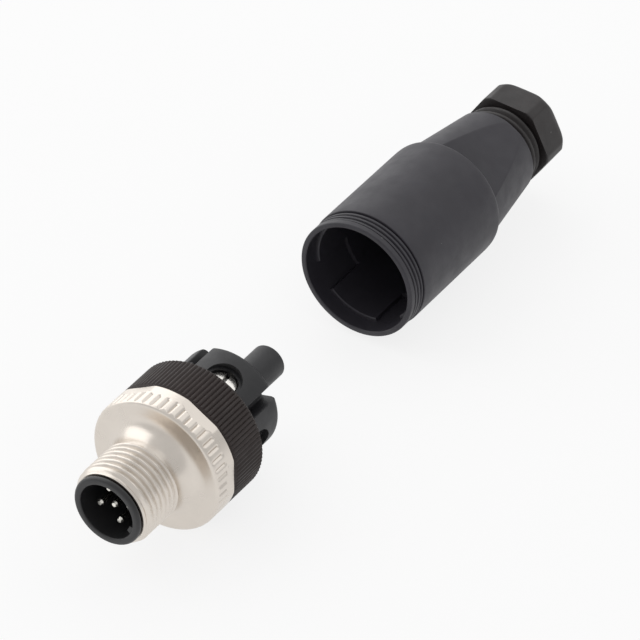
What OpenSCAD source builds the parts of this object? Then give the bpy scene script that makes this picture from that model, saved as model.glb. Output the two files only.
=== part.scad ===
// Field-wired M12 connector, A-coded, five pins with screw terminals.
// The contact carrier and the housing lie drawn apart on one axis, as when the wires are fitted.
// The connector's axis runs along X. Each part is drawn along its own Z axis and then laid down.

/* [Coupling screw] */
// Major diameter of the coupling thread
thread_d = 12; // [11:0.1:14]
// Length of the coupling thread
thread_len = 7.7; // [6:0.1:10]
// Height of the chamfer in front of the coupling thread
thread_lead = 0.6; // [0.3:0.05:0.8]
// Wall between the coupling thread and the insert
screw_wall = 1.1; // [1:0.05:1.5]
// Length of the neck between the thread and the flange
neck_len = 2.6; // [2:0.1:5]
// Height of the flange's rim above the union ring
flange_rise = 0.05; // [0:0.05:0.5]
// Length of the flange
flange_len = 4.2; // [3.6:0.1:7]
// Chamfer on the front edge of the flange
flange_chamfer = 0.6; // [0.2:0.1:1]
// Depth of the six wrench flats below the flange's rim
flat_depth = 0.4; // [0.25:0.05:0.6]
// Length of the wrench flats at their middle
flat_len = 2.1; // [1.5:0.1:2.6]
// Number of knurl notches round the flange
notch_count = 48; // [24:1:60]
// Depth of the knurl notches
notch_depth = 0.28; // [0.1:0.02:0.4]

/* [Pin insert] */
// Height of the rounded lip above the insert's tube
lip_lap = 0.45; // [0.2:0.05:0.6]
// Length of the lip
lip_len = 0.9; // [0.6:0.1:1.4]
// Wall of the insert's tube
insert_wall = 0.65; // [0.5:0.05:0.9]
// Depth of the plug recess
recess_depth = 8.5; // [7.5:0.1:9.5]
// Distance that the insert's tube reaches into the terminal block
insert_seat = 1.5; // [1:0.1:2.5]
// Width of the coding key inside the recess
key_w = 1.2; // [0.8:0.1:1.5]
// Height of the coding key above the recess wall
key_h = 0.6; // [0.4:0.05:0.7]
// Direction of the coding key about the axis
key_angle = 206.5; // [0:0.5:360]
// Diameter of the contact pins
pin_d = 1; // [0.8:0.05:1.15]
// Diameter of the circle of four pins
pin_circle_d = 5; // [4.4:0.1:5.6]
// Distance from the front rim back to the pin tips
pin_set_back = 1.8; // [1:0.1:3]

/* [Terminal block] */
// Diameter of the hub that carries the union ring
hub_d = 13.8; // [12.6:0.1:15]
// Length of the block's flange
block_flange_len = 1.5; // [1:0.1:2.5]
// Diameter over the four terminal lobes
lobe_d = 15.5; // [14:0.1:18]
// Rounding on the rear edge of the lobes
lobe_round = 1; // [0.4:0.1:1.4]
// Width of the slots between the lobes
slot_w = 1.5; // [1:0.1:1.8]
// Depth of the slots between the lobes
slot_depth = 2.2; // [1:0.1:2.6]
// Diameter of the screwdriver holes
driver_hole_d = 4.4; // [3.8:0.1:5]
// Widening of the screwdriver holes at their mouths
driver_mouth_step = 0.4; // [0.2:0.05:0.6]
// Length of the wire entries behind the clamps
entry_len = 2.4; // [1.8:0.1:3]
// Diameter of the central post
post_d = 5.1; // [4.6:0.1:5.8]
// Wall of the central post round its clamp tube
post_wall = 0.65; // [0.5:0.05:0.8]
// Length of the central post behind the lobes
post_len = 8.9; // [8:0.1:10]
// Width of the locating lug
lug_w = 2.8; // [2:0.1:3.4]
// Length of the locating lug
lug_len = 4.7; // [3:0.1:6]

/* [Terminals] */
// Distance from the axis to the inner side of the wire clamps
clamp_near = 2.6; // [2.5:0.05:2.9]
// Thickness of the webs that join the pins to the wire clamps
web_t = 1.5; // [1:0.1:2]
// Width of the webs
web_w = 1.8; // [1.8:0.05:2.2]
// Block left between the insert and the webs
web_cover = 1.2; // [0.8:0.1:2]
// Thickness of the wire clamps
clamp_t = 2.6; // [2.4:0.1:2.9]
// Width of the wire clamps
clamp_w = 4.2; // [3.8:0.1:4.7]
// Length of the wire clamps
clamp_len = 7.5; // [6.6:0.1:8.5]
// Diameter of the wire holes
wire_d = 1.5; // [1:0.1:1.7]
// Diameter of the four terminal screws
screw_d = 3.2; // [2.8:0.1:3.5]
// Length of the four terminal screws
screw_len = 1.6; // [1.4:0.1:2]
// Diameter of the central terminal's screw
post_screw_d = 2; // [1.6:0.1:2.3]
// Distance from the post's end to the central terminal's screw
post_screw_inset = 3.6; // [2.8:0.1:4.5]

/* [Union ring] */
// Wall of the union ring round the housing's thread
ring_t = 0.9; // [0.8:0.05:2]
// Length of the union ring
ring_len = 6.5; // [5.8:0.1:7.5]
// Thickness of the ring's front wall
ring_wall = 1.6; // [1:0.1:2.2]
// Number of ribs round the ring
rib_count = 99; // [40:1:120]
// Height of the ribs
rib_h = 0.2; // [0.1:0.05:0.4]

/* [Housing] */
// Gap between the lobes and the housing's inner wall
lobe_gap = 0.2; // [0.15:0.05:0.6]
// Depth of the key grooves and of the mouth's wider bore
groove_h = 0.5; // [0.4:0.05:0.8]
// Wall of the mouth between its bore and its thread
mouth_wall = 0.8; // [0.7:0.05:1.5]
// Height of the barrel's shoulder above the thread
barrel_step = 0.15; // [0.1:0.05:1]
// Length of the barrel, from the rim to where the housing narrows
barrel_len = 21.5; // [19:0.1:24]
// Length of the rounded step behind the barrel
shoulder_len = 1.8; // [1.2:0.1:3]
// Height of the rounded step behind the barrel
shoulder_step = 0.75; // [0.4:0.05:1]
// Wall of the tail round the pressing screw's thread
tail_wall = 0.55; // [0.5:0.05:1.5]
// Length of the bore that the pressing screw screws into
gland_bore_len = 10.5; // [9.5:0.1:12]
// Depth of the wrench flats below the rim of the tail
wrench_cut = 0.1; // [0.05:0.05:0.3]
// Direction of the wrench flats about the axis
wrench_angle = 121; // [0:1:180]
// Depth of the mouth's wider bore along the axis
mouth_bore_depth = 2.6; // [1.5:0.1:4]
// Depth of the four key grooves along the axis
groove_depth = 9.5; // [7:0.1:12]
// Angle that each key groove spans
groove_span = 33; // [28:1:40]

/* [Cable gland] */
// Outer diameter of the pressing screw's thread
gland_thread_d = 12.5; // [11:0.1:14]
// Height of the pressing screw's flats above its thread
gland_head_lap = 0.3; // [0.2:0.05:1.5]
// Length of the pressing screw's hexagonal head
gland_head_len = 5.2; // [4.5:0.1:8]
// Distance that the pressing screw is still to be screwed in
gland_travel = 3.3; // [2:0.1:4]
// Diameter of the opening for the cable
cable_d = 6.4; // [4:0.1:7.2]
// Wall left for the seal's seat inside the pressing screw's bore
seal_step = 0.7; // [0.4:0.05:1]
// Length of the cable seal
seal_len = 4.5; // [3:0.1:6]
// Amount by which the relaxed seal's bore is narrower than the cable, in radius
seal_grip = 0.2; // [0.1:0.05:0.5]
// Thickness of the thrust ring behind the seal
thrust_ring_len = 1.7; // [1:0.1:2]

/* [Layout] */
// Distance that the housing is drawn back from its seat
draw_out = 41.1; // [25:0.1:60]

/* [Hidden] */
$fn = 96;

// Clearances: radial gap of a turning fit, gap of an embedded piece, gap between faces
fit_gap = 0.05;
nest_gap = 0.04;
face_gap = 0.1;
// Overlap that lets a cutting shape pass a face, and the same for the crests of ribs
cut = 1;
crest_lap = 0.02;

// Coupling screw and insert, from the thread inward
insert_r = thread_d / 2 - screw_wall - fit_gap;
recess_r = insert_r - insert_wall;
lip_r = insert_r + lip_lap;
neck_cut = 0.4;
neck_r = thread_d / 2 - neck_cut;
neck_curve = neck_len - neck_cut;
pin_shank_d = pin_d + 0.6;
shank_cover = 1;

// Housing and union ring, from the lobes outward
housing_bore_r = lobe_d / 2 + lobe_gap;
mouth_bore_r = housing_bore_r + groove_h;
mouth_r = mouth_bore_r + mouth_wall;
ring_bore_r = mouth_r + fit_gap;
ring_r = ring_bore_r + ring_t;
flange_r = ring_r + flange_rise;
barrel_r = mouth_r + barrel_step;
block_flange_r = (mouth_bore_r + mouth_r) / 2;
seal_cord_d = lobe_gap + groove_h - 2 * nest_gap;

// Tail and gland, from the pressing screw's thread in and out
gland_r = gland_thread_d / 2;
gland_bore_r = gland_r + fit_gap;
tail_r = gland_bore_r + tail_wall;
wrench_r = tail_r - wrench_cut;
seal_r = gland_r - seal_step;
cable_r = cable_d / 2;
seal_ledge = 1;
post_room = 0.8;

// Places along the axis, from the front rim of the insert
screw_front = lip_len + fit_gap;
thread_end = screw_front + thread_len;
flange_front = thread_end + neck_len;
flange_back = flange_front + flange_len;
block_front = flange_back + face_gap;
ring_back = block_front + ring_len;
block_flange_front = block_front + ring_wall + face_gap;
block_flange_back = block_flange_front + block_flange_len;
insert_back = block_front + insert_seat;
pin_shank_front = recess_depth + shank_cover;
clamp_front = insert_back + web_cover + web_t;
shank_back = clamp_front - web_t / 2;
clamp_back = clamp_front + clamp_len;
screw_z = clamp_front + 0.63 * clamp_len;
lobe_back = clamp_back + entry_len;
post_back = lobe_back + post_len;

// The same for the housing half
housing_seat = block_flange_back + 2 * face_gap;
rim = housing_seat + draw_out;
mouth_len = ring_back + face_gap - housing_seat;
wrench_front = rim + barrel_len + shoulder_len;
chamber_end = rim + post_back - housing_seat + post_room;
seal_seat = chamber_end + seal_ledge;
gland_bore_front = seal_seat + seal_len - face_gap;
tail = gland_bore_front + gland_bore_len;
gland_stem_len = gland_bore_len - thrust_ring_len - 2 * face_gap;
gland_head_front = tail + gland_travel;
gland_stem_front = gland_head_front - gland_stem_len;
gland_back = gland_head_front + gland_head_len;
axis_height = max(flange_r, barrel_r);

// Directions about the axis
lobe_angle = key_angle - 10;
slot_angle = lobe_angle + 45;
lug_angle = slot_angle - 180;
pin_angle = key_angle - 45;

// Sizes inside the terminals
clamp_far = clamp_near + clamp_t;
wire_r = clamp_near + wire_d / 2 + 0.4;
slot_floor_r = lobe_d / 2 - slot_depth;
post_clamp_d = post_d - 2 * post_wall;
post_clamp_front = lobe_back + 0.6;
post_clamp_back = post_back - 0.8;
post_screw_z = post_back - post_screw_inset;
post_screw_angle = lobe_angle + 105;

// Lays a shape that was drawn along Z down along X, with the origin on the floor under the middle
module lay() {
    translate([-gland_back / 2, 0, axis_height]) rotate([90, 0, 90]) children();
}

// Turns a half outline of [radius, place along the axis] points about the axis
module turned(outline) {
    rotate_extrude() polygon(outline);
}

// Rod along the axis, between two places
module rod(r, from, to) {
    translate([0, 0, from]) cylinder(r = r, h = to - from);
}

// Turns a shape to a direction about the axis
module facing(angle) {
    rotate([0, 0, angle]) children();
}

// Rod that points away from the axis, between two radii
module spoke(d, place, from, to) {
    translate([from, 0, place]) rotate([0, 90, 0]) cylinder(d = d, h = to - from);
}

// Points of an arc in the half outline
function arc(centre, r, from, to, steps = 8) = [
    for (i = [0 : steps])
        let (a = from + (to - from) * i / steps)
        [centre[0] + r * cos(a), centre[1] + r * sin(a)]
];

// Closed outline of evenly spaced V notches in a circle, each as wide as its share allows.
// The crests stand clear of the circle, so the solid that the outline limits keeps its own rim.
function notched(r, depth, count, share) = [
    for (i = [0 : count - 1], side = [-share / 2, 0, share / 2])
        let (a = 360 * (i + side) / count, reach = side == 0 ? r - depth : r + crest_lap)
        [reach * cos(a), reach * sin(a)]
];

// Moves to a pin's place: four on the circle, the fifth on the axis
module at_pin(i) {
    if (i == 4) children();
    else facing(pin_angle + 90 * i) translate([pin_circle_d / 2, 0, 0]) children();
}

// What six flats take off the flange, each with a curved front boundary
module flats_cut() {
    flat_r = flange_r - flat_depth;
    flat_front = flange_back - flat_len;
    front_curve = 5;
    for (k = [0 : 5]) facing(60 * k)
        spoke(2 * front_curve, flat_front + front_curve, flat_r, flange_r + 2 * cut);
}

// Limits the flange to its rim, with the knurl notches in front of the flats
module flange_limit() {
    notch_len = flange_len - flat_len + 0.3;
    rod(flange_r + cut, screw_front - cut, flange_front);
    translate([0, 0, flange_front]) linear_extrude(height = notch_len)
        polygon(notched(flange_r, notch_depth, notch_count, 0.8));
    rod(flange_r + cut, flange_front + notch_len, flange_back + cut);
}

module coupling_screw() {
    bore_r = insert_r + fit_gap;
    color("#c9c5be") lay() difference() {
        intersection() {
            turned(concat(
                [
                    [bore_r, screw_front],
                    [thread_d / 2 - thread_lead, screw_front],
                    [thread_d / 2, screw_front + 1.4 * thread_lead],
                    [thread_d / 2, thread_end - neck_cut],
                    [neck_r, thread_end]
                ],
                arc([neck_r + neck_curve, flange_front - neck_curve], neck_curve, 180, 90),
                [
                    [flange_r - flange_chamfer, flange_front],
                    [flange_r, flange_front + flange_chamfer],
                    [flange_r, flange_back],
                    [bore_r, flange_back]
                ]
            ));
            flange_limit();
        }
        flats_cut();
    }
}

module pin_insert() {
    lip_round = lip_len / 2;
    rim_bevel = 0.2;
    color("#3b3a3c") lay() difference() {
        union() {
            turned(concat(
                [
                    [0, recess_depth],
                    [recess_r, recess_depth],
                    [recess_r, rim_bevel],
                    [recess_r + rim_bevel, 0]
                ],
                arc([lip_r - lip_round, lip_round], lip_round, -90, 90),
                [[insert_r, lip_len], [insert_r, insert_back], [0, insert_back]]
            ));
            facing(key_angle) translate([recess_r - key_h, -key_w / 2, 0.5])
                cube([key_h + insert_wall / 2, key_w, recess_depth]);
        }
        for (i = [0 : 4]) at_pin(i) {
            rod(pin_d / 2 + nest_gap, recess_depth - cut, pin_shank_front + cut);
            rod(pin_shank_d / 2 + nest_gap, pin_shank_front - nest_gap, insert_back + cut);
        }
    }
}

// Front end that every contact has: a round-tipped pin on a thicker shank
module pin(shank_end) {
    tip = 0.2;
    turned([
        [0, pin_set_back],
        [pin_d / 2 - tip, pin_set_back],
        [pin_d / 2, pin_set_back + 1.5 * tip],
        [pin_d / 2, pin_shank_front],
        [pin_shank_d / 2, pin_shank_front],
        [pin_shank_d / 2, shank_end],
        [0, shank_end]
    ]);
}

// Web and wire clamp of an outer contact, grown by a gap to make its pocket
module clamp_form(gap) {
    turn = lobe_angle - pin_angle;
    web_near = pin_circle_d / 2 * cos(turn);
    web_side = pin_circle_d / 2 * sin(turn) + web_w / 2;
    facing(lobe_angle) {
        translate([web_near - gap, -web_side - gap, clamp_front - web_t - gap])
            cube([clamp_near - web_near + 1 + 2 * gap, web_w + 2 * gap, web_t + 2 * gap]);
        translate([clamp_near - gap, -clamp_w / 2 - gap, clamp_front - gap])
            cube([clamp_t + 2 * gap, clamp_w + 2 * gap, clamp_len + 2 * gap]);
    }
}

module outer_contact(i) {
    color("#c8b98a") lay() facing(90 * i) difference() {
        union() {
            facing(pin_angle) translate([pin_circle_d / 2, 0, 0]) pin(shank_back);
            clamp_form(0);
        }
        facing(lobe_angle) {
            spoke(screw_d + 2 * fit_gap, screw_z, wire_r, clamp_far + cut);
            translate([wire_r, 0, 0]) rod(wire_d / 2, screw_z - screw_d * 0.8, clamp_back + cut);
        }
    }
}

module contact_1() { outer_contact(0); }
module contact_2() { outer_contact(1); }
module contact_3() { outer_contact(2); }
module contact_4() { outer_contact(3); }

// The central contact ends in a clamp tube inside the post
module contact_5() {
    color("#c8b98a") lay() difference() {
        union() {
            pin(post_clamp_front);
            rod(post_clamp_d / 2, post_clamp_front, post_clamp_back);
        }
        facing(post_screw_angle)
            spoke(post_screw_d + 2 * fit_gap, post_screw_z, 0, post_clamp_d / 2 + cut);
        rod(wire_d / 2, post_screw_z - post_screw_d, post_clamp_back + cut);
    }
}

// Slotted screw that points outward from the axis
module slotted_screw(d, place, from, to) {
    slot_t = d * 0.17;
    slot_in = d * 0.22;
    end_bevel = 0.2;
    translate([0, 0, place]) rotate([0, 90, 0]) difference() {
        turned([
            [0, from],
            [d / 2 - end_bevel, from],
            [d / 2, from + end_bevel],
            [d / 2, to - end_bevel],
            [d / 2 - end_bevel, to],
            [0, to]
        ]);
        translate([-d, -slot_t / 2, to - slot_in]) cube([2 * d, slot_t, slot_in + cut]);
    }
}

module outer_screw(i) {
    top = clamp_far + 0.8;
    color("#d6d4d0") lay() facing(lobe_angle + 90 * i)
        slotted_screw(screw_d, screw_z, top - screw_len, top);
}

module terminal_screw_1() { outer_screw(0); }
module terminal_screw_2() { outer_screw(1); }
module terminal_screw_3() { outer_screw(2); }
module terminal_screw_4() { outer_screw(3); }

module terminal_screw_5() {
    color("#d6d4d0") lay() facing(post_screw_angle)
        slotted_screw(post_screw_d, post_screw_z, wire_d / 2, post_clamp_d / 2 + 0.1);
}

module terminal_block() {
    core_r = lobe_d / 2;
    color("#3f3f43") lay() {
        difference() {
            union() {
                turned(concat(
                    [
                        [0, block_front],
                        [hub_d / 2, block_front],
                        [hub_d / 2, block_flange_front],
                        [block_flange_r, block_flange_front],
                        [block_flange_r, block_flange_back],
                        [core_r, block_flange_back]
                    ],
                    arc([core_r - lobe_round, lobe_back - lobe_round], lobe_round, 0, 90),
                    [[0, lobe_back]]
                ));
                post();
            }
            block_sockets();
            for (i = [0 : 3]) facing(slot_angle + 90 * i) slot();
            for (i = [0 : 3]) facing(90 * i) lobe_holes();
            post_holes();
        }
        lug();
    }
}

// Central post with a rounded end
module post() {
    post_round = 0.4;
    turned(concat(
        [[0, lobe_back - cut], [post_d / 2, lobe_back - cut]],
        arc([post_d / 2 - post_round, post_back - post_round], post_round, 0, 90, 4),
        [[0, post_back]]
    ));
}

// Slot between two lobes, open to the rear
module slot() {
    translate([slot_floor_r, -slot_w / 2, block_flange_back])
        cube([slot_depth + cut, slot_w, lobe_back - block_flange_back + cut]);
}

// Socket for the insert and passages for the five shanks
module block_sockets() {
    rod(insert_r + nest_gap, block_front - cut, insert_back + nest_gap);
    for (i = [0 : 3]) at_pin(i)
        rod(pin_shank_d / 2 + nest_gap, insert_back, shank_back + nest_gap);
    rod(pin_shank_d / 2 + nest_gap, insert_back, post_clamp_front);
    rod(post_clamp_d / 2 + nest_gap, post_clamp_front - nest_gap, post_clamp_back + nest_gap);
}

// Pocket, screwdriver hole and wire entry of one lobe
module lobe_holes() {
    mouth_depth = 0.9;
    entry_r = wire_d / 2 + 0.35;
    funnel = 0.8;
    clamp_form(nest_gap);
    facing(lobe_angle) {
        spoke(driver_hole_d, screw_z, clamp_far - cut, lobe_d / 2 + cut);
        spoke(driver_hole_d + 2 * driver_mouth_step, screw_z,
            lobe_d / 2 - mouth_depth, lobe_d / 2 + cut);
        translate([wire_r, 0, 0]) {
            rod(entry_r, clamp_back - cut, lobe_back + cut);
            translate([0, 0, lobe_back - funnel / 2])
                cylinder(r1 = entry_r, r2 = entry_r + funnel, h = funnel);
        }
    }
}

// Wire entry and screw hole of the central post
module post_holes() {
    rod(wire_d / 2 + 0.25, post_clamp_back - cut, post_back + cut);
    facing(post_screw_angle) spoke(post_screw_d + 0.3, post_screw_z, 0, post_d);
}

// Lug that keeps the housing from turning on the block
module lug() {
    lug_r = mouth_bore_r - 0.15;
    lug_front = block_flange_back + seal_cord_d + 0.3;
    facing(lug_angle) intersection() {
        rod(lug_r, lug_front, lug_front + lug_len);
        translate([slot_floor_r - 0.2, -lug_w / 2, lug_front])
            cube([lug_r, lug_w, lug_len]);
    }
}

module body_seal() {
    color("#2a2a2c") lay() translate([0, 0, block_flange_back + seal_cord_d / 2])
        rotate_extrude()
            translate([(lobe_d / 2 + mouth_bore_r) / 2, 0]) circle(d = seal_cord_d);
}

module union_ring() {
    bevel = 0.4;
    color("#332c2b") lay() difference() {
        intersection() {
            translate([0, 0, block_front]) linear_extrude(height = ring_len)
                polygon(notched(ring_r, rib_h, rib_count, 0.7));
            turned([
                [0, block_front],
                [ring_r - bevel, block_front],
                [ring_r, block_front + bevel],
                [ring_r, ring_back - bevel],
                [ring_r - bevel, ring_back],
                [0, ring_back]
            ]);
        }
        rod(hub_d / 2 + fit_gap, block_front - cut, ring_back);
        rod(ring_bore_r, block_front + ring_wall, ring_back + cut);
    }
}

// Key groove along the inside of the housing's front part
module key_groove() {
    reach = mouth_bore_r + cut;
    half_w = reach * tan(groove_span / 2);
    intersection() {
        rod(mouth_bore_r, rim + mouth_bore_depth - cut, rim + groove_depth);
        linear_extrude(height = rim + groove_depth)
            polygon([[0, 0], [reach, -half_w], [reach, half_w]]);
    }
}

// Two opposite wrench flats on the housing's tapered part
module wrench_flats() {
    for (side = [0, 180]) facing(wrench_angle + side)
        translate([wrench_r, -2 * barrel_r, wrench_front])
            cube([2 * barrel_r, 4 * barrel_r, tail - wrench_front + cut]);
}

module housing() {
    relief = 0.4;
    relief_len = 0.3;
    rim_bevel = 0.3;
    color("#434348") lay() difference() {
        turned(concat(
            [
                [mouth_bore_r, rim],
                [mouth_r - rim_bevel, rim],
                [mouth_r, rim + rim_bevel],
                [mouth_r, rim + mouth_len - relief_len],
                [mouth_r - relief, rim + mouth_len - relief_len],
                [mouth_r - relief, rim + mouth_len],
                [barrel_r, rim + mouth_len],
                [barrel_r, rim + barrel_len]
            ],
            shoulder(),
            [
                [tail_r, tail],
                [gland_bore_r, tail],
                [gland_bore_r, gland_bore_front],
                [seal_r + nest_gap, gland_bore_front],
                [seal_r + nest_gap, seal_seat],
                [cable_r + 0.4, seal_seat],
                [cable_r + 0.4, chamber_end],
                [housing_bore_r, chamber_end],
                [housing_bore_r, rim + mouth_bore_depth],
                [mouth_bore_r, rim + mouth_bore_depth]
            ]
        ));
        for (i = [0 : 3]) facing(slot_angle + 90 * i) key_groove();
        wrench_flats();
    }
}

// Rounded step from the barrel down to the start of the taper
function shoulder(steps = 6) = [
    for (i = [1 : steps])
        let (a = 90 * i / steps)
        [
            barrel_r - shoulder_step * (1 - cos(a)),
            rim + barrel_len + shoulder_len * sin(a) * (2 - sin(a))
        ]
];

module cable_seal() {
    grip_r = cable_r - seal_grip;
    color("#26262a") lay() turned([
        [grip_r, seal_seat],
        [seal_r, seal_seat],
        [seal_r, seal_seat + seal_len],
        [grip_r, seal_seat + seal_len]
    ]);
}

module thrust_ring() {
    thrust_ring_front = gland_stem_front - thrust_ring_len;
    color("#55555a") lay() turned([
        [cable_r + face_gap, thrust_ring_front],
        [gland_r - fit_gap, thrust_ring_front],
        [gland_r - fit_gap, gland_stem_front],
        [cable_r + face_gap, gland_stem_front]
    ]);
}

module gland_nut() {
    corner_r = (gland_r + gland_head_lap) / cos(30);
    head_r = corner_r - 0.3;
    edge = 1.4;
    bevel = 0.3;
    undercut = 0.7;
    funnel = 1;
    flare = 1.2;
    color("#4a4748") lay() difference() {
        union() {
            turned([
                [0, gland_stem_front],
                [gland_r - 0.5, gland_stem_front],
                [gland_r, gland_stem_front + 0.5],
                [gland_r, gland_head_front - undercut],
                [gland_r - undercut, gland_head_front - undercut],
                [gland_r - undercut, gland_head_front + cut],
                [0, gland_head_front + cut]
            ]);
            intersection() {
                facing(3) translate([0, 0, gland_head_front])
                    cylinder(r = corner_r, h = gland_head_len, $fn = 6);
                turned(concat(
                    [
                        [0, gland_head_front],
                        [head_r - bevel, gland_head_front],
                        [head_r, gland_head_front + bevel]
                    ],
                    arc([head_r - edge, gland_back - edge], edge, 0, 90),
                    [[0, gland_back]]
                ));
            }
        }
        rod(cable_r, gland_stem_front - cut, gland_back + cut);
        translate([0, 0, gland_back - funnel])
            cylinder(r1 = cable_r, r2 = cable_r + flare, h = 1.2 * funnel);
    }
}

pin_insert();
contact_1();
contact_2();
contact_3();
contact_4();
contact_5();
terminal_block();
terminal_screw_1();
terminal_screw_2();
terminal_screw_3();
terminal_screw_4();
terminal_screw_5();
body_seal();
coupling_screw();
union_ring();
housing();
cable_seal();
thrust_ring();
gland_nut();
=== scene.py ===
import math

import bmesh
import bpy
from bpy.props import FloatProperty, FloatVectorProperty, IntProperty, PointerProperty
from mathutils import Matrix, Vector


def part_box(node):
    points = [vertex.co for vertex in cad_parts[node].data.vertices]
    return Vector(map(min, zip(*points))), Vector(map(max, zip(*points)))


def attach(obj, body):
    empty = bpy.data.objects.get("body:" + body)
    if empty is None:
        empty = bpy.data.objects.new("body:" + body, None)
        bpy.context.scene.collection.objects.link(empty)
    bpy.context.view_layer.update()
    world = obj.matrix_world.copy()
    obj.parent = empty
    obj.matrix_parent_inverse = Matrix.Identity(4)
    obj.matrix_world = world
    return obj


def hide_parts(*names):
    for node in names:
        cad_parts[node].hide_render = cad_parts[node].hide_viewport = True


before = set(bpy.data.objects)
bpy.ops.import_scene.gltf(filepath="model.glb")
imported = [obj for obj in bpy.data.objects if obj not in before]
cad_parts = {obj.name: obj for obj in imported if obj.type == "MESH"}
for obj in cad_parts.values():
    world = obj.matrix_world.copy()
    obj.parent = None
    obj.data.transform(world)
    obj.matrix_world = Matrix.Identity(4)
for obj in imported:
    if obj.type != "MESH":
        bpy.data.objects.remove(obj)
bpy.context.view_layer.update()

bl_info = {
    "name": "M12 Connector",
    "version": (1, 0, 0),
    "blender": (4, 5, 0),
    "location": "3D View > Sidebar > Connector",
    "description": "Dresses a field-wired M12 connector, drawn apart on its axis",
    "category": "Add Mesh",
}

# The connector's axis runs along X. A place is a distance along it from the insert's front rim,
# and an angle about it starts at +Y and grows towards +Z. Lengths are in metres.
MM = 0.001
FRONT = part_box("pin_insert")[0].x
AXIS_Z = sum(corner.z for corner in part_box("coupling_screw")) / 2

# Points that lie nearer to each other than this count as one
WELD = 0.002 * MM

# Turn from the first lobe to the coding key, from that lobe to the post's screw, and from the key
# to the housing's first key groove
LOBE_TURN = math.radians(10)
POST_TURN = math.radians(105)
GROOVE_TURN = math.radians(35)

# Turn of each terminal screw's slot, in degrees
SLOT_TURNS = (20, -35, 60, 5, 40)


def place_of(node, end):
    """Place of a node's front (0) or back (1) end along the axis."""
    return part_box(node)[end].x - FRONT


def radius_of(node):
    """Largest radius of a round node."""
    low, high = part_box(node)
    return (high.y - low.y) / 2


def srgb(*channels):
    """Linear colour of a display colour."""
    return tuple(c / 12.92 if c <= 0.04045 else ((c + 0.055) / 1.055) ** 2.4 for c in channels)


def length(name, description, default):
    """Property that holds a length."""
    return FloatProperty(
        name=name, description=description, default=default, unit="LENGTH", precision=5, min=0.0
    )


def colour(name, description, default):
    """Property that holds a colour."""
    return FloatVectorProperty(
        name=name, description=description, default=default, subtype="COLOR", size=3, min=0.0, max=1.0
    )


def direction(name, description, degrees):
    """Property that holds an angle."""
    return FloatProperty(name=name, description=description, default=math.radians(degrees), subtype="ANGLE")


# Sizes and colours

class ThreadSizes(bpy.types.PropertyGroup):
    """Sizes of the three threads"""

    coupling_pitch: length("Coupling pitch", "Pitch of the coupling thread", 1.0 * MM)
    coupling_depth: length("Coupling depth", "Depth of the coupling thread", 0.5 * MM)
    mouth_pitch: length("Mouth pitch", "Pitch of the thread at the housing's mouth", 0.74 * MM)
    mouth_depth: length("Mouth depth", "Depth of the thread at the housing's mouth", 0.42 * MM)
    gland_pitch: length("Gland pitch", "Pitch of the pressing screw's thread", 1.27 * MM)
    gland_depth: length("Gland depth", "Depth of the pressing screw's thread", 0.55 * MM)


class CouplingScrewSizes(bpy.types.PropertyGroup):
    """Sizes of the plated coupling screw"""

    thread_radius: length("Thread radius", "Radius over the thread's crests", 6.0 * MM)
    thread_end: length("Thread end", "Place where the thread ends", 8.65 * MM)
    neck_radius: length("Neck radius", "Radius of the neck", 5.6 * MM)
    bore_radius: length("Bore radius", "Radius of the bore round the insert", 4.9 * MM)
    flange_front: length("Flange front", "Place where the flange starts", 11.25 * MM)
    flat_length: length("Flat length", "Length of a wrench flat at its middle", 2.1 * MM)
    flat_depth: length("Flat depth", "Depth of a wrench flat below the rim", 0.4 * MM)
    flat_curve: length("Flat curve", "Radius of a flat's curved front edge", 5.0 * MM)
    notch_count: IntProperty(name="Notches", description="Knurl notches round the rim", default=48)
    notch_depth: length("Notch depth", "Depth of the knurl notches", 0.26 * MM)


class InsertSizes(bpy.types.PropertyGroup):
    """Sizes of the pin insert"""

    tube_radius: length("Tube radius", "Outer radius of the insert's tube", 4.85 * MM)
    recess_radius: length("Recess radius", "Radius of the plug recess", 4.2 * MM)
    recess_depth: length("Recess depth", "Depth of the plug recess", 8.5 * MM)
    lip_length: length("Lip length", "Length of the rounded lip", 0.9 * MM)
    key_width: length("Key width", "Width of the coding key", 1.2 * MM)
    key_height: length("Key height", "Height of the coding key", 0.6 * MM)
    key_angle: direction("Key angle", "Direction of the coding key", 206.5)


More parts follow.
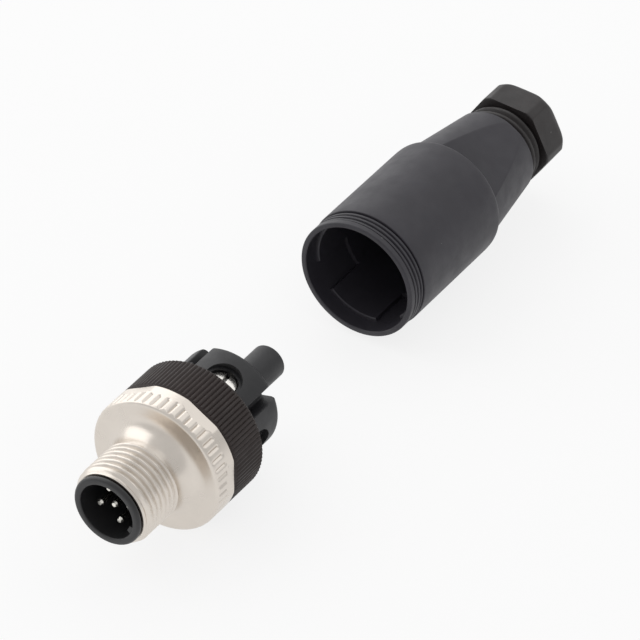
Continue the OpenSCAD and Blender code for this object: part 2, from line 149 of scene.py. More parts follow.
class BlockSizes(bpy.types.PropertyGroup):
    """Sizes of the terminal block"""

    hub_radius: length("Hub radius", "Radius of the hub in the union ring", 6.9 * MM)
    flange_front: length("Flange front", "Place where the block's flange starts", 17.25 * MM)
    flange_back: length("Flange back", "Place where the block's flange ends", 18.75 * MM)
    flange_radius: length("Flange radius", "Radius of the block's flange", 8.85 * MM)
    lobe_radius: length("Lobe radius", "Radius over the four lobes", 7.75 * MM)
    lobe_back: length("Lobe back", "Place where the lobes end", 29.65 * MM)
    slot_floor: length("Slot floor", "Radius at the bottom of the slots", 5.55 * MM)
    slot_width: length("Slot width", "Width of the slots between the lobes", 1.5 * MM)
    post_radius: length("Post radius", "Radius of the central post", 2.55 * MM)
    hole_radius: length("Hole radius", "Radius of the screwdriver holes", 2.2 * MM)
    hole_mouth: length("Hole mouth", "Radius of the screwdriver holes at their mouths", 2.6 * MM)
    hole_floor: length("Hole floor", "Radius where the screwdriver holes end", 5.2 * MM)
    screw_place: length("Screw place", "Place of the four terminal screws", 24.475 * MM)
    wire_radius: length("Wire radius", "Distance from the axis to the wire entries", 3.75 * MM)
    entry_radius: length("Entry radius", "Radius of the wire entries", 1.1 * MM)
    lug_width: length("Lug width", "Width of the locating lug", 2.8 * MM)
    lug_length: length("Lug length", "Length of the locating lug", 4.7 * MM)
    lug_radius: length("Lug radius", "Distance from the axis to the lug's top", 8.3 * MM)
    lug_gap: length("Lug gap", "Room for the seal between the flange and the lug", 0.92 * MM)
    screw_radius: length("Screw radius", "Radius of the four terminal screws' heads", 1.95 * MM)
    screw_top: length("Screw top", "Distance from the axis to the screws' heads", 6.75 * MM)
    screw_length: length("Screw length", "Length of the four terminal screws' heads", 1.5 * MM)
    screw_dome: length("Screw dome", "Height of the domed heads", 0.3 * MM)
    post_inset: length("Post inset", "Distance from the post's end to its screw", 3.6 * MM)
    post_screw_radius: length("Post screw radius", "Radius of the post's screw", 1.0 * MM)
    post_screw_top: length("Post screw top", "Distance from the axis to the post screw's head", 2.0 * MM)
    post_screw_length: length("Post screw length", "Length of the post's screw", 1.25 * MM)


class RingSizes(bpy.types.PropertyGroup):
    """Sizes of the ribbed union ring"""

    bore_radius: length("Bore radius", "Radius of the ring's threaded bore", 9.3 * MM)
    hub_radius: length("Hub radius", "Radius of the opening in the front wall", 6.95 * MM)
    wall: length("Front wall", "Thickness of the ring's front wall", 1.6 * MM)
    edge: length("Edge", "Chamfer on the ring's two edges", 0.35 * MM)
    rib_count: IntProperty(name="Ribs", description="Ribs round the ring", default=99)
    rib_height: length("Rib height", "Height of the ribs", 0.2 * MM)


class HousingSizes(bpy.types.PropertyGroup):
    """Sizes of the tapered housing"""

    mouth_radius: length("Mouth radius", "Radius over the mouth's thread", 9.25 * MM)
    mouth_length: length("Mouth length", "Length of the threaded mouth", 3.2 * MM)
    plain_lip: length("Plain lip", "Length of the plain lip before the mouth's thread", 0.85 * MM)
    mouth_bore: length("Mouth bore", "Radius of the mouth's wider bore", 8.45 * MM)
    mouth_bore_depth: length("Mouth bore depth", "Depth of the mouth's wider bore", 2.6 * MM)
    bore_radius: length("Bore radius", "Radius of the wiring chamber", 7.95 * MM)
    chamber_depth: length("Chamber depth", "Depth of the wiring chamber", 20.4 * MM)
    groove_depth: length("Groove depth", "Depth of the key grooves", 9.5 * MM)
    barrel_length: length("Barrel length", "Length of the barrel", 21.5 * MM)
    shoulder_length: length("Shoulder length", "Length of the rounded step", 1.8 * MM)
    shoulder_step: length("Shoulder step", "Height of the rounded step", 0.75 * MM)
    tail_radius: length("Tail radius", "Radius of the tail", 6.85 * MM)
    wrench_radius: length("Wrench radius", "Distance from the axis to the flats", 6.75 * MM)
    wrench_angle: direction("Wrench angle", "Direction of the flats", 121)
    groove_span: direction("Groove span", "Angle that each key groove spans", 33)
    gland_bore: length("Gland bore", "Radius of the bore for the pressing screw", 6.3 * MM)
    gland_bore_depth: length("Gland bore depth", "Depth of the bore for the pressing screw", 10.5 * MM)
    seal_seat: length("Seal seat", "Radius of the cable seal's seat", 5.59 * MM)
    chamber_wall: length("Chamber wall", "Thickness of the wall between chamber and seal", 1.0 * MM)
    cable_opening: length("Cable opening", "Radius of the opening in that wall", 3.6 * MM)


class NutSizes(bpy.types.PropertyGroup):
    """Sizes of the hexagonal pressing screw"""

    thread_radius: length("Thread radius", "Radius over the thread's crests", 6.25 * MM)
    head_length: length("Head length", "Length of the hexagonal head", 5.2 * MM)
    flat_radius: length("Flat radius", "Distance from the axis to the six flats", 6.55 * MM)
    corner_radius: length("Corner radius", "Radius of the turned edge at the corners", 7.26 * MM)
    edge: length("Edge", "Rounding of the rear edge", 1.4 * MM)
    undercut: length("Undercut", "Length of the undercut below the head", 0.7 * MM)
    bore_radius: length("Bore radius", "Radius of the cable opening", 3.2 * MM)
    flat_angle: direction("Flat angle", "Direction of the first flat", 33)


class FinishColours(bpy.types.PropertyGroup):
    """Colours of the finishes"""

    nickel: colour("Nickel", "Plated coupling screw", srgb(0.865, 0.835, 0.80))
    pin_plate: colour("Pins", "Plated contacts", srgb(0.93, 0.92, 0.89))
    screw_plate: colour("Screws", "Plated terminal screws", srgb(0.95, 0.94, 0.92))
    insert: colour("Insert", "Pin insert", srgb(0.145, 0.145, 0.15))
    block: colour("Block", "Terminal block", srgb(0.125, 0.125, 0.135))
    ring: colour("Ring", "Union ring", srgb(0.135, 0.085, 0.07))
    housing: colour("Housing", "Housing", srgb(0.18, 0.173, 0.198))
    nut: colour("Nut", "Pressing screw", srgb(0.145, 0.13, 0.13))
    rubber: colour("Seals", "Seals", srgb(0.09, 0.09, 0.095))
    floor: colour("Floor", "Floor under the connector", srgb(0.93, 0.93, 0.93))


class StageSizes(bpy.types.PropertyGroup):
    """Camera and lamps"""

    camera_distance: length("Camera distance", "Distance from the camera to its aim", 0.645)
    focal_length: FloatProperty(name="Focal length", description="In millimetres", default=264.9)
    elevation: direction("Elevation", "Height of the view", 38.15)
    heading: direction("Heading", "Turn of the view from the axis", 33.45)
    roll: direction("Roll", "Turn of the camera about its view", 0.15)
    light_level: FloatProperty(name="Light level", description="Strength of the lamps", default=1.0, min=0.0)


# Shapes

def round_edge(centre, radius, start, end, steps=6):
    """(place, radius) points of an arc, with its angles in degrees from the radius direction."""
    points = []
    for i in range(steps + 1):
        turn = math.radians(start + (end - start) * i / steps)
        points.append((centre[0] + radius * math.sin(turn), centre[1] + radius * math.cos(turn)))
    return points


def fine(outline, step):
    """The outline with points added so that no stretch is longer than the step."""
    points = []
    for (place_a, radius_a), (place_b, radius_b) in zip(outline, outline[1:]):
        count = max(1, math.ceil(math.dist((place_a, radius_a), (place_b, radius_b)) / step))
        for i in range(count):
            share = i / count
            points.append((place_a + (place_b - place_a) * share, radius_a + (radius_b - radius_a) * share))
    return points + [outline[-1]]


def turned(name, outline, columns, reshape=None):
    """Solid of revolution. Its outline is a closed loop, or runs from the axis to the axis."""
    poles = outline[0][1] == 0
    rows = outline[1:-1] if poles else outline
    angles = [2 * math.pi * k / columns for k in range(columns)]
    solid = bmesh.new()
    grid = []
    for place, radius in rows:
        ring = []
        for angle in angles:
            at, reach = reshape(place, radius, angle) if reshape else (place, radius)
            ring.append(solid.verts.new(
                (FRONT + at, reach * math.cos(angle), AXIS_Z + reach * math.sin(angle))
            ))
        grid.append(ring)
    last = len(grid) - 1 if poles else len(grid)
    for i in range(last):
        ring, following = grid[i], grid[(i + 1) % len(grid)]
        for k in range(columns):
            after = (k + 1) % columns
            solid.faces.new((ring[k], ring[after], following[after], following[k]))
    if poles:
        for ring, point in ((grid[0], outline[0]), (grid[-1], outline[-1])):
            tip = solid.verts.new((FRONT + point[0], 0.0, AXIS_Z))
            for k in range(columns):
                solid.faces.new((ring[k], ring[(k + 1) % columns], tip))
    bmesh.ops.recalc_face_normals(solid, faces=solid.faces)
    return shown(name, solid)


def shown(name, solid):
    """Puts a shape in the scene as a smooth-shaded object at the origin."""
    mesh = bpy.data.meshes.new(name)
    solid.to_mesh(mesh)
    solid.free()
    piece = bpy.data.objects.new(name, mesh)
    bpy.context.scene.collection.objects.link(piece)
    smooth(piece)
    return piece


def smooth(piece, limit=32):
    """Shades a piece smooth, with edges kept sharp past the limit in degrees."""
    piece.data.shade_smooth()
    piece.data.set_sharp_from_angle(angle=math.radians(limit))


def spoke(name, place, angle, radius, inner, outer):
    """Cylinder that points away from the axis, for cutting holes."""
    solid = bmesh.new()
    bmesh.ops.create_cone(
        solid, cap_ends=True, segments=64, radius1=radius, radius2=radius, depth=outer - inner
    )
    outward = Matrix.Rotation(angle, 4, "X") @ Matrix.Rotation(-math.pi / 2, 4, "X")
    move = Matrix.Translation((FRONT + place, 0, AXIS_Z)) @ outward
    move = move @ Matrix.Translation((0, 0, (inner + outer) / 2))
    bmesh.ops.transform(solid, matrix=move, verts=solid.verts)
    bmesh.ops.recalc_face_normals(solid, faces=solid.faces)
    return shown(name, solid)


def rod(name, start, end, radius_a, radius_b, angle=0.0, off_axis=0.0):
    """Rod or cone along the axis, or beside it in a direction, for cutting wire entries."""
    solid = bmesh.new()
    bmesh.ops.create_cone(
        solid, cap_ends=True, segments=48, radius1=radius_a, radius2=radius_b, depth=end - start
    )
    middle = Vector((
        FRONT + (start + end) / 2, off_axis * math.cos(angle), AXIS_Z + off_axis * math.sin(angle)
    ))
    move = Matrix.Translation(middle) @ Matrix.Rotation(math.pi / 2, 4, "Y")
    bmesh.ops.transform(solid, matrix=move, verts=solid.verts)
    bmesh.ops.recalc_face_normals(solid, faces=solid.faces)
    return shown(name, solid)


def combine(piece, others, operation):
    """Joins other shapes to a piece, or takes them off it, and deletes them."""
    for other in others:
        tool = piece.modifiers.new("Combine", "BOOLEAN")
        tool.operation = operation
        tool.object = other
        tool.solver = "EXACT"
    settle(piece)
    repair(piece)
    for other in others:
        mesh = other.data
        bpy.data.objects.remove(other)
        bpy.data.meshes.remove(mesh)


def repair(piece):
    """Merges the points that a cut leaves nearer than WELD and closes any gap that this opens."""
    solid = bmesh.new()
    solid.from_mesh(piece.data)
    bmesh.ops.remove_doubles(solid, verts=solid.verts, dist=WELD)
    bmesh.ops.dissolve_degenerate(solid, dist=WELD, edges=solid.edges)
    bmesh.ops.holes_fill(solid, edges=[edge for edge in solid.edges if edge.is_boundary], sides=8)
    bmesh.ops.recalc_face_normals(solid, faces=solid.faces)
    solid.to_mesh(piece.data)
    solid.free()


def settle(piece):
    """Turns a piece with its modifiers into a plain mesh."""
    depsgraph = bpy.context.evaluated_depsgraph_get()
    depsgraph.update()
    result = bpy.data.meshes.new_from_object(piece.evaluated_get(depsgraph), depsgraph=depsgraph)
    piece.modifiers.clear()
    rough, piece.data = piece.data, result
    bpy.data.meshes.remove(rough)
    result.name = piece.name
    smooth(piece)


# Geometry Nodes trees that cut threads and notches into a turned surface, and make screws

class TreeMaker:
    """Short ways to build a tree, and the steps that radial cuts share."""

    def __init__(self, name, inputs):
        self.group = bpy.data.node_groups.new(name, "GeometryNodeTree")
        self.group.interface.new_socket("Geometry", in_out="INPUT", socket_type="NodeSocketGeometry")
        for label, kind, default in inputs:
            socket = self.group.interface.new_socket(label, in_out="INPUT", socket_type=kind)
            if default is not None:
                socket.default_value = default
        self.group.interface.new_socket("Geometry", in_out="OUTPUT", socket_type="NodeSocketGeometry")
        self.given = self.group.nodes.new("NodeGroupInput").outputs

    def node(self, kind, **settings):
        """A new node with its settings."""
        node = self.group.nodes.new(kind)
        for key, value in settings.items():
            setattr(node, key, value)
        return node

    def feed(self, socket, value):
        """Links a socket to an input, or sets a plain value on it."""
        if isinstance(value, bpy.types.NodeSocket):
            self.group.links.new(value, socket)
        else:
            socket.default_value = value

    def made(self, kind, inputs, **settings):
        """Output of a new node that is fed with the inputs."""
        node = self.node(kind, **settings)
        for label, value in inputs.items():
            self.feed(node.inputs[label], value)
        return node.outputs[0]

    def math(self, operation, *values):
        """Result of a sum on the values."""
        node = self.node("ShaderNodeMath", operation=operation)
        for socket, value in zip(node.inputs, values):
            self.feed(socket, value)
        return node.outputs[0]

    def ramp(self, value, start, end):
        """Rises smoothly from 0 to 1 as the value goes from start to end."""
        node = self.node("ShaderNodeMapRange", interpolation_type="SMOOTHSTEP")
        for socket, number in zip(node.inputs, (value, start, end, 0.0, 1.0)):
            self.feed(socket, number)
        return node.outputs[0]

    def place(self):
        """Place along the axis, radius and turn (0 to 1) of each point."""
        position = self.node("GeometryNodeInputPosition").outputs[0]
        split = self.node("ShaderNodeSeparateXYZ")
        self.feed(split.inputs[0], position)
        along, across, height = split.outputs
        up = self.math("SUBTRACT", height, AXIS_Z)
        square = self.math("ADD", self.math("MULTIPLY", across, across), self.math("MULTIPLY", up, up))
        radius = self.math("MAXIMUM", self.math("SQRT", square), 1e-6)
        turn = self.math("DIVIDE", self.math("ARCTAN2", up, across), 2 * math.pi)
        return self.math("SUBTRACT", along, FRONT), radius, turn, (along, across, up)

    def finish(self, radius, limit, spot):
        """Draws the points in to the limiting radius and ends the tree."""
        along, across, up = spot
        share = self.math("DIVIDE", self.math("MINIMUM", radius, limit), radius)
        height = self.math("ADD", self.math("MULTIPLY", up, share), AXIS_Z)
        position = self.vector(along, self.math("MULTIPLY", across, share), height)
        return self.end(self.made("GeometryNodeSetPosition", {
            "Geometry": self.given["Geometry"], "Position": position,
        }))

    def vector(self, *values):
        """Vector of three numbers or sockets."""
        join = self.node("ShaderNodeCombineXYZ")
        for socket, value in zip(join.inputs, values):
            self.feed(socket, value)
        return join.outputs[0]

    def end(self, geometry):
        """Realizes the geometry, gives it the material and ends the tree."""
        real = self.made("GeometryNodeRealizeInstances", {"Geometry": geometry})
        finish = self.made("GeometryNodeSetMaterial", {"Geometry": real, "Material": self.given["Material"]})
        self.feed(self.node("NodeGroupOutput").inputs["Geometry"], finish)
        return self.group

    def window(self, place):
        """1 between the start and the end of the cut stretch, falling to 0 over its run-out."""
        rise = self.ramp(
            place, self.given["Start"], self.math("ADD", self.given["Start"], self.given["Run-out"])
        )
        fall = self.ramp(
            place, self.math("SUBTRACT", self.given["End"], self.given["Run-out"]), self.given["End"]
        )
        return self.math("MULTIPLY", rise, self.math("SUBTRACT", 1.0, fall))

    def wave(self, turns):
        """Falls from 1 to 0 and rises again as the turns pass each whole number."""
        phase = self.math("FRACT", turns)
        return self.math("ABSOLUTE", self.math("SUBTRACT", self.math("MULTIPLY", phase, 2.0), 1.0))

    def limit(self, place, radius, depth_share):
        """Radius that the cut leaves, or a far one outside the cut stretch and well inside the crests."""
        depth = self.math("MULTIPLY", self.given["Depth"], depth_share)
        depth = self.math("MULTIPLY", depth, self.window(place))
        left = self.math("SUBTRACT", self.given["Crest radius"], depth)
        untouched = self.math("LESS_THAN", radius, self.given["Least radius"])
        before = self.math("LESS_THAN", place, self.given["Start"])
        behind = self.math("GREATER_THAN", place, self.given["End"])
        for spared in (untouched, before, behind):
            left = self.math("ADD", left, spared)
        return left


CUT_INPUTS = (
    ("Start", "NodeSocketFloat", 0.0),
    ("End", "NodeSocketFloat", 0.01),
    ("Run-out", "NodeSocketFloat", 0.001),
    ("Crest radius", "NodeSocketFloat", 0.006),
    ("Least radius", "NodeSocketFloat", 0.005),
    ("Depth", "NodeSocketFloat", 0.0005),
    ("Material", "NodeSocketMaterial", None),
)


def thread_tree():
    """Right-handed thread with V grooves between its crests."""
    tree = TreeMaker("Cut thread", (
        ("Pitch", "NodeSocketFloat", 0.001), ("Crest share", "NodeSocketFloat", 0.12),
    ) + CUT_INPUTS)
    place, radius, turn, spot = tree.place()
    turns = tree.math("SUBTRACT", tree.math("DIVIDE", place, tree.given["Pitch"]), turn)
    depth = tree.ramp(tree.wave(turns), tree.given["Crest share"], 0.97)
    return tree.finish(radius, tree.limit(place, radius, depth), spot)


def notch_tree():
    """Even notches along the axis, each as wide as its share of the spacing."""
    tree = TreeMaker("Cut notches", (
        ("Count", "NodeSocketInt", 48), ("Share", "NodeSocketFloat", 0.8),
    ) + CUT_INPUTS)
    place, radius, turn, spot = tree.place()
    wave = tree.wave(tree.math("MULTIPLY", turn, tree.given["Count"]))
    slope = tree.math("SUBTRACT", 1.0, tree.math("DIVIDE", wave, tree.given["Share"]))
    depth = tree.math("MAXIMUM", slope, 0.0)
    return tree.finish(radius, tree.limit(place, radius, depth), spot)


def screw_tree():
    """Slotted screw with a domed head that points away from the axis."""
    tree = TreeMaker("Slotted screw", (
        ("Place", "NodeSocketFloat", 0.02), ("Angle", "NodeSocketFloat", 0.0),
        ("Radius", "NodeSocketFloat", 0.0016), ("Bottom", "NodeSocketFloat", 0.004),
        ("Top", "NodeSocketFloat", 0.006), ("Dome", "NodeSocketFloat", 0.0004),
        ("Slot width", "NodeSocketFloat", 0.0005), ("Slot depth", "NodeSocketFloat", 0.0007),
        ("Slot turn", "NodeSocketFloat", 0.0), ("Material", "NodeSocketMaterial", None),
    ))
    given = tree.given
    depth = tree.math("SUBTRACT", given["Top"], given["Bottom"])
    half = tree.math("MULTIPLY", depth, 0.5)
    slotted = tree.node("GeometryNodeMeshBoolean", operation="DIFFERENCE", solver="EXACT")
    tree.feed(slotted.inputs["Mesh 1"], domed_blank(tree, depth, half))
    tree.feed(slotted.inputs["Mesh 2"], slot_blade(tree, half))
    middle = tree.math("ADD", given["Bottom"], half)
    out_y = tree.math("MULTIPLY", middle, tree.math("COSINE", given["Angle"]))
    out_z = tree.math("MULTIPLY", middle, tree.math("SINE", given["Angle"]))
    tilt = tree.math("SUBTRACT", given["Angle"], math.pi / 2)
    spot = tree.vector(tree.math("ADD", given["Place"], FRONT), out_y, tree.math("ADD", out_z, AXIS_Z))
    return tree.end(tree.made("GeometryNodeTransform", {
        "Geometry": slotted.outputs[0], "Rotation": tree.vector(tilt, 0.0, 0.0), "Translation": spot,
    }))


def domed_blank(tree, depth, half):
    """Cylinder whose upper end falls off towards its rim by the dome's height."""
    given = tree.given
    blank = tree.made("GeometryNodeMeshCylinder", {
        "Vertices": 64, "Side Segments": 2, "Fill Segments": 10, "Radius": given["Radius"], "Depth": depth,
    }, fill_type="TRIANGLE_FAN")
    split = tree.node("ShaderNodeSeparateXYZ")
    tree.feed(split.inputs[0], tree.node("GeometryNodeInputPosition").outputs[0])
    across, along, height = split.outputs
    square = tree.math("ADD", tree.math("MULTIPLY", across, across), tree.math("MULTIPLY", along, along))
    share = tree.math("DIVIDE", square, tree.math("MULTIPLY", given["Radius"], given["Radius"]))
    on_top = tree.math("GREATER_THAN", height, tree.math("MULTIPLY", half, 0.9))
    drop = tree.math("MULTIPLY", tree.math("MULTIPLY", share, given["Dome"]), on_top)
    offset = tree.vector(0.0, 0.0, tree.math("MULTIPLY", drop, -1.0))
    return tree.made("GeometryNodeSetPosition", {"Geometry": blank, "Offset": offset})


def slot_blade(tree, half):
    """Flat bar that cuts the slot across the upper end, half of it above that end."""
    given = tree.given
    blade = tree.made("GeometryNodeMeshCube", {"Size": tree.vector(
        tree.math("MULTIPLY", given["Radius"], 3.0), given["Slot width"],
        tree.math("MULTIPLY", given["Slot depth"], 2.0),
    )})
    return tree.made("GeometryNodeTransform", {
        "Geometry": blade, "Translation": tree.vector(0.0, 0.0, half),
        "Rotation": tree.vector(0.0, 0.0, given["Slot turn"]),
    })


def run_tree(piece, tree, values):
    """Runs a tree on a piece and keeps the result as a plain mesh."""
    cutter = piece.modifiers.new(tree.name, "NODES")
    cutter.node_group = tree
    sockets = {
        item.name: item.identifier for item in tree.interface.items_tree
        if item.item_type == "SOCKET" and item.in_out == "INPUT"
    }
    for label, value in values.items():
        cutter[sockets[label]] = value
    settle(piece)


# Finishes

def finish_nodes(name):
    """A material with its Principled shader and Object coordinates."""
    finish = bpy.data.materials.new(name)
    finish.use_nodes = True
    nodes = finish.node_tree.nodes
    shader = nodes["Principled BSDF"]
    spot = nodes.new("ShaderNodeTexCoord").outputs["Object"]
    return finish, nodes, finish.node_tree.links, shader, spot


def new_node(nodes, kind, **values):
    """A new node with values on its inputs. An underscore stands for a space in an input's name."""
    node = nodes.new(kind)
    for name, value in values.items():
        node.inputs[name.replace("_", " ")].default_value = value
    return node


def speckle(nodes, links, spot, scale, detail, stretch=(1, 1, 1)):
    """Noise over the piece, finer along an axis where its stretch is larger."""
    mapping = new_node(nodes, "ShaderNodeMapping", Location=(0, 0, -AXIS_Z), Scale=stretch)
    links.new(spot, mapping.inputs["Vector"])
    noise = new_node(nodes, "ShaderNodeTexNoise", Scale=scale, Detail=detail)
    links.new(mapping.outputs[0], noise.inputs["Vector"])
    return noise.outputs["Fac"]


def spread(nodes, links, source, low, high, start=0.3, end=0.7):
    """Takes a value from its range to another. Noise lies mostly between 0.3 and 0.7."""
    node = new_node(nodes, "ShaderNodeMapRange", From_Min=start, From_Max=end, To_Min=low, To_Max=high)
    links.new(source, node.inputs["Value"])
    return node.outputs[0]


def tinted(nodes, links, source, base, change):
    """The base colour, darker and lighter by the change where the noise is low and high."""
    ramp = nodes.new("ShaderNodeValToRGB")
    for stop, place, level in zip(ramp.color_ramp.elements, (0.3, 0.7), (1 - change, 1 + change)):
        stop.position = place
        stop.color = (*(min(1.0, c * level) for c in base), 1.0)
    links.new(source, ramp.inputs["Fac"])
    return ramp.outputs["Color"]


def specked(nodes, links, spot, base, dust):
    """The base colour with a rare tiny pale speck, where a scattered point lies in the surface."""
    cells = new_node(nodes, "ShaderNodeTexVoronoi", Scale=340.0)
    links.new(spot, cells.inputs["Vector"])
    pick = nodes.new("ShaderNodeSeparateColor")
    links.new(cells.outputs["Color"], pick.inputs[0])
    inside = nodes.new("ShaderNodeMath")
    inside.operation = "LESS_THAN"
    links.new(cells.outputs["Distance"], inside.inputs[0])
    links.new(spread(nodes, links, pick.outputs[0], 0.0, 0.042, 0.45, 1.0), inside.inputs[1])
    mix = nodes.new("ShaderNodeMix")
    mix.data_type = "RGBA"
    links.new(inside.outputs[0], mix.inputs["Factor"])
    links.new(base, mix.inputs["A"])
    mix.inputs["B"].default_value = (dust, dust, dust, 1.0)
    return mix.outputs["Result"]


def bumped(nodes, links, shader, height, distance, strength=1.0, before=None):
    """Adds a bump to the shader, on top of an earlier one."""
    bump = new_node(nodes, "ShaderNodeBump", Distance=distance, Strength=strength)
    links.new(height, bump.inputs["Height"])
    if before:
        links.new(before, bump.inputs["Normal"])
    links.new(bump.outputs[0], shader.inputs["Normal"])
    return bump.outputs[0]


def plated(name, base, roughness, marks, cloud=0.06):
    """Plated metal with fine turning marks round the axis and a slightly uneven polish."""
    finish, nodes, links, shader, spot = finish_nodes(name)
    shader.inputs["Metallic"].default_value = 1.0
    wide = speckle(nodes, links, spot, scale=420.0, detail=3.0)
    turning = speckle(nodes, links, spot, scale=900.0, detail=2.0, stretch=(9.0, 0.6, 0.6))
    pits = speckle(nodes, links, spot, scale=5200.0, detail=2.0)
    links.new(tinted(nodes, links, wide, base, cloud), shader.inputs["Base Color"])
    links.new(spread(nodes, links, wide, *roughness), shader.inputs["Roughness"])
    first = bumped(nodes, links, shader, turning, marks)
    bumped(nodes, links, shader, pits, marks * 0.6, 1.0, first)
    return finish


def moulded(name, base, roughness, grain, cloud=0.12):
    """Moulded plastic with a fine grain, faint clouds and rare pale specks."""
    finish, nodes, links, shader, spot = finish_nodes(name)
    shader.inputs["IOR"].default_value = 1.5
    wide = speckle(nodes, links, spot, scale=160.0, detail=4.0)
    fine_grain = speckle(nodes, links, spot, scale=3600.0, detail=3.0)
    waves = speckle(nodes, links, spot, scale=500.0, detail=2.0)
    clouded = tinted(nodes, links, wide, base, cloud)
    links.new(specked(nodes, links, spot, clouded, dust=0.2), shader.inputs["Base Color"])
    links.new(spread(nodes, links, waves, *roughness), shader.inputs["Roughness"])
    first = bumped(nodes, links, shader, fine_grain, grain)
    bumped(nodes, links, shader, waves, grain * 2.0, 0.5, first)
    return finish


def dress(node, finish):
    """Gives a CAD node a better material."""
    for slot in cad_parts[node].material_slots:
        slot.material = finish


FINISHES = {}


def make_finishes():
    """Makes the finish of each material slot."""
    tint = bpy.context.scene.connector_colours
    FINISHES.update({
        "plated_metal": plated("Nickel plate", tint.nickel, (0.26, 0.34), 0.006 * MM, 0.03),
        "contact_metal": plated("Pin plate", tint.pin_plate, (0.16, 0.26), 0.004 * MM),
        "screw_steel": plated("Screw plate", tint.screw_plate, (0.18, 0.3), 0.008 * MM),
        "insert_plastic": moulded("Insert plastic", tint.insert, (0.34, 0.44), 0.008 * MM),
        "block_plastic": moulded("Block plastic", tint.block, (0.42, 0.52), 0.01 * MM),
        "ring_plastic": moulded("Ring plastic", tint.ring, (0.46, 0.58), 0.012 * MM),
        "housing_plastic": moulded("Housing plastic", tint.housing, (0.46, 0.56), 0.014 * MM, 0.1),
        "nut_plastic": moulded("Nut plastic", tint.nut, (0.42, 0.54), 0.012 * MM),
        "seal_rubber": moulded("Seal rubber", tint.rubber, (0.6, 0.75), 0.01 * MM),
    })


def finish_for(slot):
    """The finish of a material slot. All are made at the first call."""
    if not FINISHES:
        make_finishes()
    return FINISHES[slot]


def place_piece(piece, body, node, slot):
    """Rides a piece on its body in place of its CAD node, with the slot's finish."""
    piece.data.materials.clear()
    piece.data.materials.append(finish_for(slot))
    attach(piece, body)
    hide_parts(node)


# Pieces

def nearest(angle, first, count):
    """Angle from the nearest of a ring of evenly spaced directions."""
    spacing = 2 * math.pi / count
    return (angle - first + spacing / 2) % spacing - spacing / 2


def soft_min(a, b, blend):
    """The lesser of two lengths, with the corner between them rounded."""
    share = min(max(0.5 + (b - a) / (2 * blend), 0.0), 1.0)
    return b + (a - b) * share - blend * share * (1 - share)


def smooth_step(value):
    """Rises smoothly from 0 to 1."""
    value = min(max(value, 0.0), 1.0)
    return value * value * (3 - 2 * value)


class CONNECTOR_OT_coupling_screw(bpy.types.Operator):
    """Make the plated coupling screw with its thread, knurl and six wrench flats"""

    bl_idname = "connector.coupling_screw"
    bl_label = "Coupling Screw"

    def execute(self, context):
        size = context.scene.connector_coupling_screw
        thread = context.scene.connector_threads
        rim = radius_of("coupling_screw")
        start, end = place_of("coupling_screw", 0), place_of("coupling_screw", 1)
        crest, neck, front = size.thread_radius, size.neck_radius, size.flange_front
        sweep = front - size.thread_end
        bore = size.bore_radius
        chamfer, bore_chamfer, front_edge, rear_edge = 0.6 * MM, 0.15 * MM, 0.6 * MM, 0.12 * MM
        full_thread = start + 1.4 * chamfer
        outline = [(start, bore + bore_chamfer), (start, crest - chamfer), (full_thread, crest)]
        outline = fine(outline, 0.2 * MM)
        outline += fine([(full_thread, crest), (size.thread_end - 0.4 * MM, crest)], 0.075 * MM)[1:]
        outline += round_edge((front - sweep, neck + sweep), sweep, 180, 90, 14)
        outline += fine([(front, neck + sweep), (front, rim - front_edge)], 0.3 * MM)[1:]
        outline += round_edge((front + front_edge, rim - front_edge), front_edge, -90, 0, 8)[1:]
        outline += fine([(front + front_edge, rim), (end - rear_edge, rim)], 0.06 * MM)[1:]
        outline += round_edge((end - rear_edge, rim - rear_edge), rear_edge, 0, 90, 3)[1:]
        outline += fine([(end, rim - rear_edge), (end, bore)], 0.6 * MM)[1:]
        outline += fine([(end, bore), (start + bore_chamfer, bore)], 2 * MM)[1:]
        flat = rim - size.flat_depth
        middle = end - size.flat_length + size.flat_curve

        def cut_flats(place, radius, angle):
            turn = nearest(angle, 0.0, 6)
            side = radius * math.sin(turn)
            inside = size.flat_curve - math.hypot(place - middle, side)
            if radius < flat or inside <= 0:
                return place, radius
            wanted = min(radius, flat / math.cos(turn))
            return place, radius + (wanted - radius) * smooth_step(inside / (0.09 * MM))

        body = turned("plated_coupling_screw", outline, 480, cut_flats)
        finish = finish_for("plated_metal")
        run_tree(body, thread_tree(), {
            "Pitch": thread.coupling_pitch, "Crest share": 0.1, "Start": start - thread.coupling_pitch,
            "End": size.thread_end + 0.25 * MM, "Run-out": 0.7 * MM, "Crest radius": crest,
            "Least radius": size.bore_radius + 0.3 * MM, "Depth": thread.coupling_depth,
            "Material": finish,
        })
        run_tree(body, notch_tree(), {
            "Count": size.notch_count, "Share": 0.5, "Start": front + 0.05 * MM,
            "End": end - size.flat_length + 0.75 * MM, "Run-out": 0.5 * MM, "Crest radius": rim,
            "Least radius": rim - 0.7 * MM, "Depth": size.notch_depth, "Material": finish,
        })
        place_piece(body, "coupling_screw", "coupling_screw", "plated_metal")
        return {"FINISHED"}


